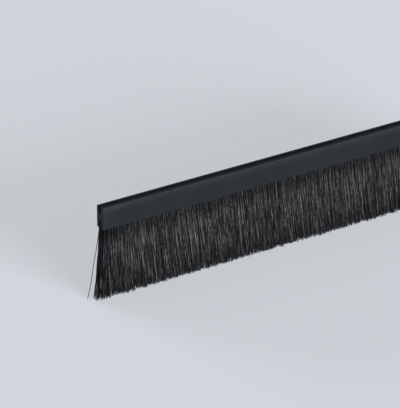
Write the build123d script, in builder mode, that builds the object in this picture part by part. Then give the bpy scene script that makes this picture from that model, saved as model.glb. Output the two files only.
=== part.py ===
from build123d import *

import os
from math import exp, radians, tan
from random import Random

# Cable brush strip: a plastic carrier that pushes onto the edge of a sheet-metal
# panel, with a brush insert slid into its foot. The insert is a folded steel
# channel that grips bristles bent over a core wire, so the bristles hang as a
# curtain that cables pass through.
#
# Millimetres. X runs along the strip, -Y is the front, +Z is up. The origin is the
# middle of the floor of the panel slot, where the edge of the panel seats.

# Carrier profile
strip_length = 300.0
carrier_height = 14.4
front_wall = 3.2
back_wall = 2.2
panel_slot_width = 1.6
panel_slot_depth = 5.0
slot_lead_in = 0.2
top_edge_radius = 0.5
front_foot_radius = 0.4
back_foot_radius = 1.2

# Brush insert
wire_diameter = 1.2
fold_thickness = 1.1
channel_sheet = 0.4
channel_toe_in = 0.25
channel_leg = 3.6
insert_clearance = 0.05
lip_height = 1.4
lip_cover = 0.25

# Bristles
bristle_free_length = 45.6
layer_count = 5
layer_splay = 0.9
layer_gap = 0.06
root_overlap = 1.0
root_inset = 0.1
tuft_pitch = 2.0
tip_gap_least = 0.25
tip_gap_most = 0.8
tip_unevenness = 0.6
notch_start = 0.08
notch_end = 0.4

# Lean of the bristles towards +X, in degrees, with a fan at each cut end
bristle_lean = 6.0
lean_unevenness = 0.6
left_end_lean = -2.5
right_end_lean = 9.0
fan_length = 12.0

# Single bristles that stand away from the left end: the layer of each, and its lean in degrees
filament_width = 0.4
stray_leans = {2: -9.0, 3: -5.5}

# Heights, from the floor of the panel slot down to the tips
carrier_top = panel_slot_depth
carrier_foot = carrier_top - carrier_height
mouth_z = carrier_foot + lip_height
wire_z = mouth_z + channel_leg
shoulder_z = wire_z - wire_diameter / 2

# Places across the strip
slot_side = panel_slot_width / 2
carrier_front = -slot_side - front_wall
carrier_back = slot_side + back_wall
carrier_thickness = carrier_back - carrier_front
carrier_middle = (carrier_front + carrier_back) / 2
brush_y = 0.0

# Half widths about the middle of the brush
fold_reach = wire_diameter / 2 + fold_thickness
channel_reach = fold_reach + channel_sheet
cavity_reach = channel_reach + insert_clearance
pinch_reach = fold_reach - channel_toe_in
lip_reach = pinch_reach + channel_sheet - lip_cover

left_end = -strip_length / 2
right_end = strip_length / 2


def arch(reach, mouth_reach):
    """Area under a half circle about the wire, straight to its foot and toed in to the mouth."""
    with BuildSketch() as area:
        with BuildLine():
            over_wire = CenterArc((brush_y, wire_z), reach, 0, 180)
            Polyline(
                over_wire @ 1,
                (brush_y - reach, shoulder_z),
                (brush_y - mouth_reach, mouth_z),
                (brush_y + mouth_reach, mouth_z),
                (brush_y + reach, shoulder_z),
                over_wire @ 0,
            )
        make_face()
    return area.sketch


def lean_at(x):
    """Lean of the bristles rooted at x: even along the strip, fanned out at the two ends."""
    from_left = exp((left_end - x) / fan_length)
    from_right = exp((x - right_end) / fan_length)
    left_share = (left_end_lean - bristle_lean) * from_left
    right_share = (right_end_lean - bristle_lean) * from_right
    return bristle_lean + left_share + right_share


def fringe_outline(draw, stray_lean):
    """Outline of one layer of tufts, with x along the strip and y measured up from the foot.

    Neighbouring tufts share a parting line, which leaves the foot at a root and leans as the
    bristles do. They hold together down to a notch on that line and end at two tip corners each.
    A stray bristle, where the layer has one, is parted from the first tuft at the foot.
    """
    tuft_count = round(strip_length / tuft_pitch)
    first_root = left_end + root_inset
    root_span = strip_length - 2 * root_inset
    roots = [first_root + root_span * index / tuft_count for index in range(tuft_count + 1)]
    leans = [lean_at(root) + draw.uniform(-lean_unevenness, lean_unevenness) for root in roots]
    points = [(roots[0], root_overlap), (roots[0], 0)]
    if stray_lean is not None:
        stray_tip = roots[0] + bristle_free_length * tan(radians(stray_lean))
        points.append((stray_tip, -bristle_free_length))
        points.append((stray_tip + filament_width, -bristle_free_length))
        points.append((roots[0] + filament_width, -root_overlap))
    for index in range(tuft_count):
        if index > 0:
            notch_drop = bristle_free_length * draw.uniform(notch_start, notch_end)
            notch_x = roots[index] + notch_drop * tan(radians(leans[index]))
            points.append((notch_x, -notch_drop))
        for side, inward in ((index, 1), (index + 1, -1)):
            half_gap = draw.uniform(tip_gap_least, tip_gap_most) / 2
            tip_drop = bristle_free_length - draw.uniform(0, tip_unevenness)
            tip_x = roots[side] + tip_drop * tan(radians(leans[side])) + inward * half_gap
            points.append((tip_x, -tip_drop))
    points.append((roots[-1], 0))
    points.append((roots[-1], root_overlap))
    return points


# Carrier: one extruded section, with the panel slot above and the brush cavity below
with BuildPart() as carrier_profile:
    with BuildSketch(Plane.YZ) as section:
        with Locations((carrier_middle, (carrier_top + carrier_foot) / 2)):
            Rectangle(carrier_thickness, carrier_height)
        fillet(section.vertices().group_by(Axis.Y)[-1], top_edge_radius)
        fillet(section.vertices().group_by(Axis.Y)[0].sort_by(Axis.X)[:1], front_foot_radius)
        fillet(section.vertices().group_by(Axis.Y)[0].sort_by(Axis.X)[-1:], back_foot_radius)
        with Locations((0, panel_slot_depth / 2)):
            Rectangle(panel_slot_width, panel_slot_depth, mode=Mode.SUBTRACT)
        slot_mouth = section.vertices().group_by(Axis.Y)[-1].sort_by(Axis.X)[1:-1]
        chamfer(slot_mouth, slot_lead_in)
        with BuildLine():
            cavity_roof = CenterArc((brush_y, wire_z), cavity_reach, 0, 180)
            Polyline(
                cavity_roof @ 1,
                (brush_y - cavity_reach, mouth_z),
                (brush_y + cavity_reach, mouth_z),
                cavity_roof @ 0,
            )
        make_face(mode=Mode.SUBTRACT)
        with Locations((brush_y, (mouth_z + carrier_foot) / 2)):
            Rectangle(2 * lip_reach, lip_height, mode=Mode.SUBTRACT)
    extrude(amount=strip_length / 2, both=True)
carrier_profile.part.label = "carrier_profile"

# Backing channel: steel strip folded over the bristles, its legs toed in below the wire
with BuildPart() as backing_channel:
    with BuildSketch(Plane.YZ):
        add(arch(channel_reach, pinch_reach + channel_sheet))
        add(arch(fold_reach, pinch_reach), mode=Mode.SUBTRACT)
    extrude(amount=strip_length / 2, both=True)
backing_channel.part.label = "backing_channel"

# Core wire: the bristles are bent over it
with BuildPart() as core_wire:
    with BuildSketch(Plane.YZ):
        with Locations((brush_y, wire_z)):
            Circle(wire_diameter / 2)
    extrude(amount=strip_length / 2, both=True)
core_wire.part.label = "core_wire"

# Bristle fill: packed round the wire and pinched in the mouth, then free in splayed layers of tufts
with BuildPart() as bristle_fill:
    with BuildSketch(Plane.YZ):
        add(arch(fold_reach, pinch_reach))
        with Locations((brush_y, (mouth_z + carrier_foot) / 2)):
            Rectangle(2 * pinch_reach, lip_height)
        with Locations((brush_y, wire_z)):
            Circle(wire_diameter / 2, mode=Mode.SUBTRACT)
    extrude(amount=strip_length / 2, both=True)

    layer_pitch = 2 * pinch_reach / layer_count
    for layer in range(layer_count):
        steps_from_middle = layer - (layer_count - 1) / 2
        layer_y = brush_y + steps_from_middle * layer_pitch
        leg_plane = Plane(origin=(0, layer_y, carrier_foot), x_dir=(1, 0, 0), z_dir=(0, -1, 0))
        leg_plane = leg_plane.rotated((steps_from_middle * layer_splay, 0, 0))
        with BuildSketch(leg_plane):
            with BuildLine():
                Polyline(*fringe_outline(Random(layer), stray_leans.get(layer)), close=True)
            make_face()
        extrude(amount=(layer_pitch - layer_gap) / 2, both=True)
bristle_fill.part.label = "bristle_fill"

os.makedirs("parts", exist_ok=True)
for piece in (carrier_profile, backing_channel, core_wire, bristle_fill):
    export_step(piece.part, f"parts/{piece.part.label}.step")
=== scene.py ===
from math import ceil, cos, radians, sin

import bpy
import numpy as np
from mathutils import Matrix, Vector


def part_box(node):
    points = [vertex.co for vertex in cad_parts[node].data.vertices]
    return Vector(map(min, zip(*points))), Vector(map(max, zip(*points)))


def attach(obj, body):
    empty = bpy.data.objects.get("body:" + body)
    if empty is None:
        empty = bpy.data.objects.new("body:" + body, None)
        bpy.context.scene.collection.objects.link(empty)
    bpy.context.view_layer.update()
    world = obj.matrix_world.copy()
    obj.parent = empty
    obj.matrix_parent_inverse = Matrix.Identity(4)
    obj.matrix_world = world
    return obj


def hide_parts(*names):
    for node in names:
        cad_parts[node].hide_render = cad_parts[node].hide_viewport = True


# Cable brush strip: a plastic carrier with a brush insert in its foot. Lengths whose
# names end in _mm are millimetres, and the frame and every mesh are in metres. X runs
# along the strip, -Y is the front and +Z is up out of the panel slot.

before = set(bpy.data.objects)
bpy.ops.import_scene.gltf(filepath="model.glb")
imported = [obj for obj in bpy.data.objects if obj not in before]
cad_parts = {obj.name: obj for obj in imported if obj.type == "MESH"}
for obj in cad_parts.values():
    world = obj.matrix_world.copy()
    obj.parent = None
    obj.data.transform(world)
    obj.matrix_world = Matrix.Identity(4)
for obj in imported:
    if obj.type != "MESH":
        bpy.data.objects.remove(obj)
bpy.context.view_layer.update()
mm = 0.001

# Carrier: the bar that pushes onto the edge of a panel. It is rigid PVC, pushed through
# a die as one long section and sawn to length, so it is matt with faint lines along it.
carrier_low, carrier_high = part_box("carrier_profile")


def linear(hex_colour):
    """Linear RGBA of an sRGB hex value: c / 12.92 when dark, else ((c + 0.055) / 1.055) ** 2.4."""
    parts = np.array([int(hex_colour[start:start + 2], 16) for start in (1, 3, 5)]) / 255
    values = np.where(parts <= 0.04045, parts / 12.92, ((parts + 0.055) / 1.055) ** 2.4)
    return (*values.tolist(), 1.0)


def add_node(tree, kind, inputs=None, **settings):
    """Adds one node, with its settings, and gives each named input a value or a link."""
    node = tree.nodes.new(kind)
    for name, value in settings.items():
        setattr(node, name, value)
    for name, value in (inputs or {}).items():
        if isinstance(value, bpy.types.NodeSocket):
            tree.links.new(value, node.inputs[name])
        else:
            node.inputs[name].default_value = value
    return node


def new_material(name):
    """An empty material, its node tree and its Principled shader, joined to the output."""
    material = bpy.data.materials.new(name)
    material.use_nodes = True
    tree = material.node_tree
    tree.nodes.clear()
    shader = add_node(tree, "ShaderNodeBsdfPrincipled")
    add_node(tree, "ShaderNodeOutputMaterial", {"Surface": shader.outputs["BSDF"]})
    return material, tree, shader


def extruded_pvc():
    """Matt anthracite PVC. The die draws fine lines along X, and the melt leaves a faint cloud.

    The two sawn ends are duller, with the marks of the saw teeth across them, and so are the flat
    lands beside the slot, scuffed by panels. The lands are also painted paler, as painted light on
    the top. The top of the front face is painted paler as a painted highlight along its edge, most
    of all near the ends, where the whole face is painted paler too, as painted light. The lines
    and the grain are drawn coarser than the real ones, so that they show.
    """
    line_pitch_mm, line_run_mm, line_depth_mm = 0.5, 60.0, 0.03
    grain_mm, grain_depth_mm, cloud_mm = 0.35, 0.03, 25.0
    tooth_pitch_mm, tooth_slant_deg, tooth_depth_mm = 0.7, 20.0, 0.08
    sawn_skin_mm, land_skin_mm, face_skin_mm = 0.05, 0.06, 0.4
    # Painted light: a painted highlight band at the top of the front face, painted light near the
    # ends and on the lands
    painted_brow_mm, painted_end_mm = 5.0, 20.0
    painted_brow_highlight, painted_end_brow_highlight, painted_end_face_light, painted_land_light = 0.75, 0.55, 0.36, 0.35
    line_share, added_roughness = 0.35, 0.35
    material, tree, shader = new_material("extruded matt PVC")
    place = add_node(tree, "ShaderNodeTexCoord").outputs["Object"]
    along = add_node(tree, "ShaderNodeMapping", {
        "Vector": place,
        "Scale": (1 / (line_run_mm * mm), 1 / (line_pitch_mm * mm), 1 / (line_pitch_mm * mm))})
    lines = add_node(tree, "ShaderNodeTexNoise", {
        "Vector": along.outputs["Vector"], "Scale": 1.0, "Detail": 3.0})
    grain = add_node(tree, "ShaderNodeTexNoise", {
        "Vector": place, "Scale": 1 / (grain_mm * mm), "Detail": 2.0})
    cloud = add_node(tree, "ShaderNodeTexNoise", {
        "Vector": place, "Scale": 1 / (cloud_mm * mm), "Detail": 2.0})
    across = add_node(tree, "ShaderNodeMapping", {
        "Vector": place,
        "Rotation": (radians(tooth_slant_deg), 0, 0),
        "Scale": (0, 0, 1 / (tooth_pitch_mm * mm))})
    teeth = add_node(tree, "ShaderNodeTexNoise", {
        "Vector": across.outputs["Vector"], "Scale": 1.0, "Detail": 3.0})
    split = add_node(tree, "ShaderNodeSeparateXYZ", {"Vector": place})

    # Where the skin is: sawn ends, front face, lands, brow of the face, and the parts near an end
    reach = add_node(tree, "ShaderNodeMath", {0: split.outputs["X"]}, operation="ABSOLUTE")
    sawn = add_node(tree, "ShaderNodeMath", {
        0: reach.outputs["Value"], 1: carrier_high.x - sawn_skin_mm * mm},
        operation="GREATER_THAN")
    face = add_node(tree, "ShaderNodeMath", {
        0: split.outputs["Y"], 1: carrier_low.y + face_skin_mm * mm}, operation="LESS_THAN")
    land = add_node(tree, "ShaderNodeMath", {
        0: split.outputs["Z"], 1: carrier_high.z - land_skin_mm * mm}, operation="GREATER_THAN")
    brow = add_node(tree, "ShaderNodeMapRange", {
        "Value": split.outputs["Z"], "From Min": carrier_high.z - painted_brow_mm * mm,
        "From Max": carrier_high.z, "To Min": 0.0, "To Max": 1.0},
        interpolation_type="SMOOTHSTEP")
    near_end = add_node(tree, "ShaderNodeMapRange", {
        "Value": reach.outputs["Value"], "From Min": carrier_high.x - painted_end_mm * mm,
        "From Max": carrier_high.x, "To Min": 0.0, "To Max": 1.0})

    # Colour: lines over the cloud, then the sawn ends, then painted light on the brow, ends and
    # lands
    mixed = add_node(tree, "ShaderNodeMath", {
        0: lines.outputs["Fac"], 1: line_share, 2: cloud.outputs["Fac"]},
        operation="MULTIPLY_ADD")
    tone = add_node(tree, "ShaderNodeValToRGB", {"Fac": mixed.outputs["Value"]})
    tone.color_ramp.elements[0].position = 0.45
    tone.color_ramp.elements[0].color = linear("#151b1f")
    tone.color_ramp.elements[1].position = 0.9
    tone.color_ramp.elements[1].color = linear("#1b2227")
    ends = add_node(tree, "ShaderNodeMix", {
        "Factor": sawn.outputs["Value"], "A": tone.outputs["Color"], "B": linear("#1a2024")},
        data_type="RGBA")
    painted_end_falloff = add_node(tree, "ShaderNodeMath", {
        0: near_end.outputs["Result"], 1: 2.0}, operation="POWER")
    painted_end_face = add_node(tree, "ShaderNodeMath", {
        0: painted_end_falloff.outputs["Value"], 1: painted_end_face_light}, operation="MULTIPLY")
    painted_brow = add_node(tree, "ShaderNodeMath", {
        0: near_end.outputs["Result"], 1: painted_end_brow_highlight, 2: painted_brow_highlight},
        operation="MULTIPLY_ADD")
    painted_face = add_node(tree, "ShaderNodeMath", {
        0: brow.outputs["Result"], 1: painted_brow.outputs["Value"], 2: painted_end_face.outputs["Value"]},
        operation="MULTIPLY_ADD")
    painted_land = add_node(tree, "ShaderNodeMath", {
        0: land.outputs["Value"], 1: painted_land_light}, operation="MULTIPLY")
    painted_light_node = add_node(tree, "ShaderNodeMath", {
        0: painted_face.outputs["Value"], 1: face.outputs["Value"], 2: painted_land.outputs["Value"]},
        operation="MULTIPLY_ADD")
    # The painted highlight and painted light mix the colour towards a paler one
    paler = add_node(tree, "ShaderNodeMix", {
        "Factor": painted_light_node.outputs["Value"], "A": ends.outputs["Result"], "B": linear("#2c3337")},
        data_type="RGBA")
    tree.links.new(paler.outputs["Result"], shader.inputs["Base Color"])

    dull = add_node(tree, "ShaderNodeMapRange", {
        "Value": grain.outputs["Fac"], "To Min": 0.38, "To Max": 0.48})
    duller = add_node(tree, "ShaderNodeMath", {
        0: sawn.outputs["Value"], 1: land.outputs["Value"]}, operation="MAXIMUM")
    rough = add_node(tree, "ShaderNodeMath", {
        0: duller.outputs["Value"], 1: added_roughness, 2: dull.outputs["Result"]},
        operation="MULTIPLY_ADD")
    tree.links.new(rough.outputs["Value"], shader.inputs["Roughness"])
    shader.inputs["IOR"].default_value = 1.53
    shader.inputs["Specular IOR Level"].default_value = 0.24

    drawn = add_node(tree, "ShaderNodeBump", {
        "Height": lines.outputs["Fac"], "Strength": 0.12, "Distance": line_depth_mm * mm})
    grained = add_node(tree, "ShaderNodeBump", {
        "Height": grain.outputs["Fac"], "Strength": 0.2, "Distance": grain_depth_mm * mm,
        "Normal": drawn.outputs["Normal"]})
    cut = add_node(tree, "ShaderNodeMath", {
        0: teeth.outputs["Fac"], 1: sawn.outputs["Value"]}, operation="MULTIPLY")
    sawed = add_node(tree, "ShaderNodeBump", {
        "Height": cut.outputs["Value"], "Strength": 0.5, "Distance": tooth_depth_mm * mm,
        "Normal": grained.outputs["Normal"]})
    tree.links.new(sawed.outputs["Normal"], shader.inputs["Normal"])
    return material


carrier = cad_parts["carrier_profile"]
carrier.data.materials.clear()
carrier.data.materials.append(extruded_pvc())

# Core wire and backing channel: the wire that the bristles are bent over, and the strip
# folded round them, both mild steel, blackened in a hot oxide bath.
wire_low, wire_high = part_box("core_wire")
channel_foot_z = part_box("backing_channel")[0].z


def blackened_steel():
    """Hot black oxide on mild steel: a thin dark film with mottled patches and a dull shine."""
    patch_mm = 2.0
    scratch_pitch_mm, scratch_run_mm, scratch_depth_mm = 0.15, 12.0, 0.02
    material, tree, shader = new_material("black oxide steel")
    place = add_node(tree, "ShaderNodeTexCoord").outputs["Object"]
    patches = add_node(tree, "ShaderNodeTexNoise", {
        "Vector": place, "Scale": 1 / (patch_mm * mm), "Detail": 3.0})
    scratches_across = 1 / (scratch_pitch_mm * mm)
    along = add_node(tree, "ShaderNodeMapping", {
        "Vector": place,
        "Scale": (1 / (scratch_run_mm * mm), scratches_across, scratches_across)})
    drawn = add_node(tree, "ShaderNodeTexNoise", {
        "Vector": along.outputs["Vector"], "Scale": 1.0, "Detail": 2.0})
    tone = add_node(tree, "ShaderNodeValToRGB", {"Fac": patches.outputs["Fac"]})
    tone.color_ramp.elements[0].position = 0.35
    tone.color_ramp.elements[0].color = linear("#2a2b2d")
    tone.color_ramp.elements[1].position = 0.7
    tone.color_ramp.elements[1].color = linear("#3b3c3f")
    tree.links.new(tone.outputs["Color"], shader.inputs["Base Color"])
    rough = add_node(tree, "ShaderNodeMapRange", {
        "Value": patches.outputs["Fac"], "To Min": 0.38, "To Max": 0.55})
    tree.links.new(rough.outputs["Result"], shader.inputs["Roughness"])
    shader.inputs["Metallic"].default_value = 0.6
    bump = add_node(tree, "ShaderNodeBump", {
        "Height": drawn.outputs["Fac"], "Strength": 0.3, "Distance": scratch_depth_mm * mm})
    tree.links.new(bump.outputs["Normal"], shader.inputs["Normal"])
    return material


steel = blackened_steel()
for name in ("core_wire", "backing_channel"):
    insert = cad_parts[name]
    insert.data.materials.clear()
    insert.data.materials.append(steel)

# Bristles: crimped nylon filaments, each bent over the wire so that it hangs with two
# legs, pinched by the channel and trimmed nearly level. They lie in six folds, one over another.
bristle_low, bristle_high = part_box("bristle_fill")

# Places on the solids, in millimetres: the drops are measured down from the middle of the wire
strip_left, strip_right = carrier_low.x / mm, carrier_high.x / mm
wire_y, wire_z = (wire_low.y + wire_high.y) / 2 / mm, (wire_low.z + wire_high.z) / 2 / mm
wire_radius = (wire_high.y - wire_low.y) / 2 / mm
fold_reach = bristle_high.z / mm - wire_z
mouth_drop = wire_z - channel_foot_z / mm
foot_drop = wire_z - carrier_low.z / mm
tip_drop = wire_z - bristle_low.z / mm
free_mm = tip_drop - foot_drop

# The filaments and the folds, and the places of the innermost and outermost fold in the pinch
filament_mm, stray_mm, sides = 0.3, 0.48, 3
fold_count, filaments_in_fold = 6, 712
pinch_least_mm, pinch_most_mm = 0.2, 1.27

# How far the tips pass the solid's, and what is trimmed off them, tuft by tuft
past_least_mm, past_most_mm = 0.5, 1.5
tuft_mm, tuft_trim_mm, first_trim_mm = 1.5, 1.1, 0.6
tuft_count = ceil((strip_right - strip_left) / tuft_mm)
tuft_trims = np.random.default_rng(fold_count).uniform(0, tuft_trim_mm, tuft_count)
tuft_trims[0] = first_trim_mm

# The lean along the strip, which starts at a share of its own and grows towards the tips, with
# a fan at each end, a steadier left end that flares, and the stray leg of each of two folds
lean_deg, left_lean_deg, right_lean_deg, fan_mm = 6.0, -3.4, 9.0, 12.0
lean_spread_deg, left_steadiness = 0.8, 0.6
lean_at_root, lean_growth = 0.8, 0.2
flare_mm, flare_reach_mm, flare_power = 1.9, 1.2, 3
stray_lean_deg = {5: -9.9, 4: -4.8}

# The splay across the strip, and the crimp, which is weaker across the strip than along it
splay_deg, splay_spread_deg = 1.7, 0.45
crimp_mm, crimp_least, crimp_most, crimp_across = 0.18, 0.4, 1.2, 0.7
crimp_wave_mm, wave_least, wave_most, crimp_start_mm = 26.0, 0.8, 1.2, 6.0

# Rings of each filament: down each leg, and over the wire
free_rings = 7
drops = np.concatenate([[0.0, mouth_drop], np.linspace(foot_drop, tip_drop, free_rings)])
fold_angles = np.radians([60, 120])
rings = 2 * len(drops) + len(fold_angles)

# Shades from 0 to 1: one filament in every few has a painted glint, and the left end and its roots
# are darker, as painted shade
painted_glint_every, painted_glint_hold = 4, 1.1
painted_glint_shade, plain_shade, shade_spread = 0.78, 0.34, 0.17
end_painted_shade_drop, end_painted_shade_mm = 0.35, 2.2
root_painted_shade_drop, root_painted_shade_mm, root_painted_shade_run_mm = 0.3, 15.0, 5.0


def lean_at(x):
    """Lean in degrees of the bristles rooted at x: even, with an exponential fan at each end."""
    from_left = (left_lean_deg - lean_deg) * np.exp((strip_left - x) / fan_mm)
    from_right = (right_lean_deg - lean_deg) * np.exp((x - strip_right) / fan_mm)
    return lean_deg + from_left + from_right


def legs(draw, side, roots, fold_radius, pinch, stray_lean):
    """Middle lines of the legs of one fold on one side, as filaments by rings by xyz, in mm.

    Below the wire a leg closes in from the fold radius to its place in the pinch. Below the foot
    it runs out by its splay across the strip and by its lean along it, which grows by a quarter
    from root to tip, and it ends a little past the solid's tips, by a length of its own less the
    trim of its tuft. To that is added a crimp, a sine of the free length with a phase of its own.
    The legs at the left end flare out by the cube of the free length, but a stray one keeps to
    the lean that is given to it.
    """
    count = len(roots)
    steady = 1 - left_steadiness * np.exp((strip_left - roots) / fan_mm)
    lean = lean_at(roots) + steady * draw.normal(0, lean_spread_deg, count)
    flare = flare_mm * np.exp((strip_left - roots) / flare_reach_mm)
    if stray_lean is not None:
        lean[0], flare[0] = stray_lean, 0.0
    splay = splay_deg * pinch / pinch_most_mm + draw.normal(0, splay_spread_deg, count)
    past = draw.uniform(past_least_mm, past_most_mm, count)
    past = past - tuft_trims[((roots - strip_left) / tuft_mm).astype(int)]
    phase = draw.uniform(0, 2 * np.pi, count)
    wave = crimp_wave_mm * draw.uniform(wave_least, wave_most, count)
    crimp = crimp_mm * draw.uniform(crimp_least, crimp_most, count)

    free = np.clip(drops - foot_drop, 0, None) * (1 + past / free_mm)[:, None]
    closing = np.clip(drops / mouth_drop, 0, 1)
    loose = 1 - np.exp(-free / crimp_start_mm)
    turn = 2 * np.pi * free / wave[:, None] + phase[:, None]
    grown = lean_at_root + lean_growth * free / free_mm
    x = roots[:, None] + free * np.tan(np.radians(lean))[:, None] * grown
    x = x + crimp[:, None] * loose * np.sin(turn)
    x = x - flare[:, None] * (free / free_mm) ** flare_power
    out = fold_radius + (pinch - fold_radius) * closing
    out = out + free * np.tan(np.radians(splay))[:, None]
    out = out + crimp[:, None] * loose * np.cos(turn) * crimp_across
    y = wire_y + side * out
    z = wire_z - np.minimum(drops, foot_drop) - free
    return np.stack([x, y, z], -1)


def filament_surface(lines, thickness):
    """Tubes round the middle lines, with rings across them: each corner of a ring is the middle
    plus half the thickness times cos(angle) of the side vector and sin(angle) of the other. The
    side vector is X with its share along the line taken out."""
    along = np.gradient(lines, axis=1)
    along /= np.linalg.norm(along, axis=2, keepdims=True)
    sideways = np.array([1.0, 0.0, 0.0]) - along[..., :1] * along
    sideways /= np.linalg.norm(sideways, axis=2, keepdims=True)
    other = np.cross(along, sideways)
    angles = np.radians(np.arange(sides) * 360 / sides)[:, None]
    ring = np.cos(angles) * sideways[:, :, None] + np.sin(angles) * other[:, :, None]
    return lines[:, :, None] + ring * thickness[:, None, None, None] / 2


def filament_faces(count):
    """Quads of the tubes, ring by ring, then the two cut ends of each."""
    first = np.arange(count)[:, None, None] * rings * sides
    ring = np.arange(rings - 1)[None, :, None] * sides
    corner, after = np.arange(sides), (np.arange(sides) + 1) % sides
    walls = np.stack([first + ring + corner, first + ring + after,
                      first + ring + sides + after, first + ring + sides + corner], -1)
    start = first[:, 0] + corner[::-1]
    end = first[:, 0] + (rings - 1) * sides + corner
    return walls, np.stack([start, end], 1)


def bake_map(count):
    """A cell of the unit square for each filament, with a margin round it. The walls run round
    the filament across the cell and along it up the cell, and each cut end has a small triangle
    at the foot or the top of the cell."""
    margin, end_size = 0.08, 0.02
    grid = ceil(count ** 0.5)
    cell = np.stack([np.arange(count) % grid, np.arange(count) // grid], -1)[:, None, None, None]
    corner = np.arange(sides)
    across = np.stack([corner, corner + 1, corner + 1, corner], -1) / sides
    up = np.arange(rings - 1)[:, None, None] + np.array([0, 0, 1, 1])
    inside = np.stack(np.broadcast_arrays(across, up / (rings - 1)), -1)
    walls = (cell + margin + (1 - 2 * margin) * inside[None]) / grid
    triangle = np.array([[0, 0], [1, 0], [1, 1]]) * end_size
    ends = triangle + np.array([margin, 1 - margin - end_size])[:, None, None]
    return walls, (cell[:, :, 0] + ends[None]) / grid


def drawn_nylon():
    """Satin black nylon, drawn through a die and crimped. At any height about one filament in
    four has a painted glint, a paler shade, and the colour is painted darker at the root and the
    tip as painted shade. The shade and the reach of each ring come from the mesh. Short flecks,
    drawn coarser than the real wear so that they show, break up the shade along each filament."""
    scuff_mm, fleck_mm, fleck_run_mm = 3.0, 0.5, 2.3
    # Painted shade along each filament: darker at the root, under the carrier, and towards the tip
    root_reach, painted_root_factor = 0.195, 0.5
    full_reach, painted_full_factor = 0.37, 1.0
    painted_lower_factors = {0.65: 0.9, 0.88: 0.64, 1.0: 0.74}
    material, tree, shader = new_material("satin drawn nylon")
    shade = add_node(tree, "ShaderNodeAttribute", attribute_name="shade").outputs["Fac"]
    reach = add_node(tree, "ShaderNodeAttribute", attribute_name="reach").outputs["Fac"]
    place = add_node(tree, "ShaderNodeTexCoord").outputs["Object"]
    scuffs = add_node(tree, "ShaderNodeTexNoise", {
        "Vector": place, "Scale": 1 / (scuff_mm * mm), "Detail": 2.0})
    tone = add_node(tree, "ShaderNodeValToRGB", {"Fac": shade})
    tone.color_ramp.elements[0].position = 0.0
    tone.color_ramp.elements[0].color = linear("#090a0c")
    tone.color_ramp.elements[1].position = 1.0
    tone.color_ramp.elements[1].color = linear("#b2b4b8")
    tone.color_ramp.elements.new(0.5).color = linear("#4c4d50")
    # The ramp of painted shade by reach, which multiplies the tone
    painted_shade_ramp = add_node(tree, "ShaderNodeValToRGB", {"Fac": reach})
    painted_shade_ramp.color_ramp.interpolation = "EASE"
    painted_shade_ramp.color_ramp.elements[0].position = root_reach
    painted_shade_ramp.color_ramp.elements[0].color = (painted_root_factor, painted_root_factor, painted_root_factor, 1)
    painted_shade_ramp.color_ramp.elements[1].position = full_reach
    painted_shade_ramp.color_ramp.elements[1].color = (painted_full_factor, painted_full_factor, painted_full_factor, 1)
    for lower_reach, painted_factor in painted_lower_factors.items():
        painted_shade_ramp.color_ramp.elements.new(lower_reach).color = (painted_factor, painted_factor, painted_factor, 1)
    painted_light_node = add_node(tree, "ShaderNodeMix", {
        "Factor": 1.0, "A": tone.outputs["Color"], "B": painted_shade_ramp.outputs["Color"]},
        data_type="RGBA", blend_type="MULTIPLY")
    along = add_node(tree, "ShaderNodeMapping", {
        "Vector": place,
        "Scale": (1 / (fleck_mm * mm), 1 / (fleck_mm * mm), 1 / (fleck_run_mm * mm))})
    flecks = add_node(tree, "ShaderNodeTexNoise", {
        "Vector": along.outputs["Vector"], "Scale": 1.0, "Detail": 1.0})
    speckle = add_node(tree, "ShaderNodeMapRange", {
        "Value": flecks.outputs["Fac"], "From Min": 0.32, "From Max": 0.68,
        "To Min": 0.3, "To Max": 1.7})
    flecked = add_node(tree, "ShaderNodeVectorMath", {
        0: painted_light_node.outputs["Result"], "Scale": speckle.outputs["Result"]}, operation="SCALE")
    tree.links.new(flecked.outputs["Vector"], shader.inputs["Base Color"])
    rough = add_node(tree, "ShaderNodeMapRange", {
        "Value": scuffs.outputs["Fac"], "To Min": 0.45, "To Max": 0.6})
    tree.links.new(rough.outputs["Result"], shader.inputs["Roughness"])
    shader.inputs["IOR"].default_value = 1.53
    shader.inputs["Specular IOR Level"].default_value = 0.1
    return material


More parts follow.
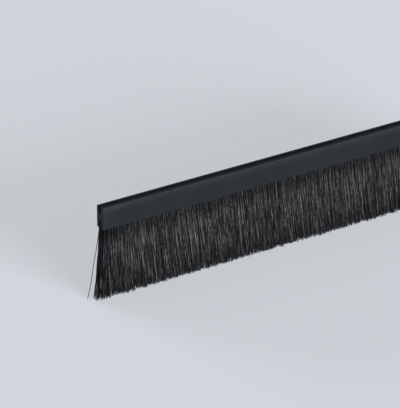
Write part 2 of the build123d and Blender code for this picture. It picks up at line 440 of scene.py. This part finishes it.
nylon = drawn_nylon()
for fold in range(fold_count):
    draw = np.random.default_rng(fold)
    share = fold / (fold_count - 1)
    innermost, outermost = wire_radius + filament_mm / 2, fold_reach - filament_mm / 2
    fold_radius = innermost + (outermost - innermost) * share
    pinch = pinch_least_mm + (pinch_most_mm - pinch_least_mm) * share
    pitch = (strip_right - strip_left) / filaments_in_fold
    stagger = (fold + 0.5) / fold_count
    roots = strip_left + pitch * (np.arange(filaments_in_fold) + stagger)
    stray_lean = stray_lean_deg.get(fold)
    front = legs(draw, -1, roots, fold_radius, pinch, None)
    back = legs(draw, 1, roots, fold_radius, pinch, stray_lean)
    over = np.stack(np.broadcast_arrays(
        roots[:, None],
        wire_y - fold_radius * np.cos(fold_angles),
        wire_z + fold_radius * np.sin(fold_angles)), -1)
    lines = np.concatenate([front[:, ::-1], over, back], 1)
    thickness = np.full(filaments_in_fold, filament_mm)
    if stray_lean is not None:
        thickness[0] = stray_mm
    vertices = filament_surface(lines, thickness).reshape(-1, 3) * mm
    walls, ends = filament_faces(filaments_in_fold)
    faces = walls.reshape(-1, 4).tolist() + ends.reshape(-1, sides).tolist()
    mesh = bpy.data.meshes.new(f"bristles_fold_{fold + 1}")
    mesh.from_pydata(vertices, [], faces)
    mesh.shade_smooth()
    wall_map, end_map = bake_map(filaments_in_fold)
    corners = np.concatenate([wall_map.ravel(), end_map.ravel()]).astype(np.float32)
    mesh.uv_layers.new(name="OFBake").data.foreach_set("uv", corners)

    # In each group of neighbours the filament with the highest rank at a ring gets a painted glint
    # there, a paler shade
    groups = filaments_in_fold // painted_glint_every
    rank = painted_glint_hold * draw.random((groups, painted_glint_every, 1))
    rank = rank + draw.random((groups, painted_glint_every, rings))
    painted_glint = (rank == rank.max(1, keepdims=True)).reshape(filaments_in_fold, rings)
    shade = np.where(painted_glint, painted_glint_shade, plain_shade)
    shade = shade + draw.normal(0, shade_spread, (filaments_in_fold, rings))
    # Painted shade: darker filaments at the left end, and darker roots near the left end
    shade = shade - end_painted_shade_drop * np.exp((strip_left - roots) / end_painted_shade_mm)[:, None]
    ring_drops = np.concatenate([drops[::-1], 0 * fold_angles, drops])
    near_foot = np.exp(-np.clip(ring_drops - foot_drop, 0, None) / root_painted_shade_run_mm)
    left_root_painted_shade = root_painted_shade_drop * np.exp((strip_left - roots) / root_painted_shade_mm)[:, None]
    shade = shade - left_root_painted_shade * near_foot
    shade = np.repeat(np.clip(shade, 0, 1), sides)
    reach = np.tile(np.repeat(ring_drops / tip_drop, sides), filaments_in_fold)
    for name, values in (("shade", shade), ("reach", reach)):
        attribute = mesh.attributes.new(name, "FLOAT", "POINT")
        attribute.data.foreach_set("value", values.astype(np.float32))
    mesh.materials.append(nylon)
    bristles = bpy.data.objects.new(mesh.name, mesh)
    bpy.context.scene.collection.objects.link(bristles)
    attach(bristles, "root")
    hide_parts("bristle_fill")

# Floor: a plain pale paper sheet that lies under the lowest tips of the bristles. It is wide
# enough to fill every view, and it throws less light back on the strip than it shows.
floor_half_m = 30.0
floor_glow = 0.48
floor_z = bristle_low.z - past_most_mm * mm
floor_mesh = bpy.data.meshes.new("floor")
floor_corners = [(-floor_half_m, -floor_half_m, floor_z), (floor_half_m, -floor_half_m, floor_z),
                 (floor_half_m, floor_half_m, floor_z), (-floor_half_m, floor_half_m, floor_z)]
floor_mesh.from_pydata(floor_corners, [], [(0, 1, 2, 3)])
floor = bpy.data.objects.new("floor", floor_mesh)
bpy.context.scene.collection.objects.link(floor)

floor_material = bpy.data.materials.new("pale studio floor")
floor_material.use_nodes = True
tree = floor_material.node_tree
tree.nodes.clear()
path = add_node(tree, "ShaderNodeLightPath")
paper = add_node(tree, "ShaderNodeBsdfDiffuse", {"Color": linear("#c0c5ca")})
bounce = add_node(tree, "ShaderNodeBsdfDiffuse", {"Color": linear("#888b8e")})
direct = add_node(tree, "ShaderNodeMath", {
    0: path.outputs["Is Camera Ray"], 1: path.outputs["Is Glossy Ray"]}, operation="MAXIMUM")
seen = add_node(tree, "ShaderNodeMath", {
    0: direct.outputs["Value"], 1: path.outputs["Is Transmission Ray"]}, operation="MAXIMUM")
lift = add_node(tree, "ShaderNodeMath", {
    0: seen.outputs["Value"], 1: floor_glow}, operation="MULTIPLY")
glow = add_node(tree, "ShaderNodeEmission", {
    "Color": linear("#e9eff5"), "Strength": lift.outputs["Value"]})
both = add_node(tree, "ShaderNodeAddShader", {
    0: paper.outputs["BSDF"], 1: glow.outputs["Emission"]})
shown = add_node(tree, "ShaderNodeMixShader", {
    "Fac": seen.outputs["Value"], 1: bounce.outputs["BSDF"], 2: both.outputs["Shader"]})
add_node(tree, "ShaderNodeOutputMaterial", {"Surface": shown.outputs["Shader"]})
floor_mesh.materials.append(floor_material)

# World: a dim even room, paler along the horizon, where the floor meets it. The heights are
# the Z of a direction.
horizon_height, room_height = 0.03, 0.1
horizon_strength, room_strength = 0.6, 0.2
world = bpy.data.worlds.new("studio room")
bpy.context.scene.world = world
world.use_nodes = True
tree = world.node_tree
tree.nodes.clear()
way = add_node(tree, "ShaderNodeTexCoord").outputs["Generated"]
height = add_node(tree, "ShaderNodeSeparateXYZ", {"Vector": way}).outputs["Z"]
rise = add_node(tree, "ShaderNodeMapRange", {
    "Value": height, "From Min": horizon_height, "From Max": room_height,
    "To Min": horizon_strength, "To Max": room_strength},
    interpolation_type="SMOOTHSTEP")
air = add_node(tree, "ShaderNodeBackground", {
    "Color": linear("#f4f5f6"), "Strength": rise.outputs["Result"]})
add_node(tree, "ShaderNodeOutputWorld", {"Surface": air.outputs["Background"]})

# Lamps: two large soft boxes set low, the key in front and a little to the right of the strip,
# and a weaker one behind it on the left. Both face the left part of the strip.
lamp_aim = Vector((-0.1, 0.0, -0.02))


def soft_box(name, azimuth_deg, elevation_deg, distance_m, size_m, watts):
    """An area lamp on a sphere round the strip, facing it. Azimuth 0 is straight in front."""
    azimuth, elevation = radians(azimuth_deg), radians(elevation_deg)
    back = Vector((sin(azimuth) * cos(elevation), -cos(azimuth) * cos(elevation), sin(elevation)))
    lamp = bpy.data.lights.new(name, "AREA")
    lamp.shape = "RECTANGLE"
    lamp.size, lamp.size_y = size_m
    lamp.energy = watts
    box = bpy.data.objects.new(name, lamp)
    box.location = lamp_aim + back * distance_m
    box.rotation_euler = back.to_track_quat("Z", "Y").to_euler()
    bpy.context.scene.collection.objects.link(box)


soft_box("key_soft_box", azimuth_deg=9, elevation_deg=13, distance_m=5.0,
         size_m=(2.8, 1.5), watts=220)
soft_box("back_soft_box", azimuth_deg=195, elevation_deg=12, distance_m=5.0,
         size_m=(2.8, 1.7), watts=120)

# Camera: a long lens, left of the front and above, as in the photograph. It is aimed so that
# the strip runs out of the frame on the right.
camera_azimuth, camera_elevation = radians(-33.0), radians(25.98)
camera_distance_m = 1.648447
camera_aim = Vector((-0.10218, -0.03500, 0.00818))
camera_back = Vector((sin(camera_azimuth) * cos(camera_elevation),
                      -cos(camera_azimuth) * cos(camera_elevation), sin(camera_elevation)))
camera_data = bpy.data.cameras.new("camera")
camera_data.lens = 247.81
camera_data.sensor_width = 36.0
camera = bpy.data.objects.new("camera", camera_data)
camera.location = camera_aim + camera_back * camera_distance_m
camera.rotation_euler = camera_back.to_track_quat("Z", "Y").to_euler()
bpy.context.scene.collection.objects.link(camera)
bpy.context.scene.camera = camera

bpy.context.scene.view_settings.view_transform = "Standard"
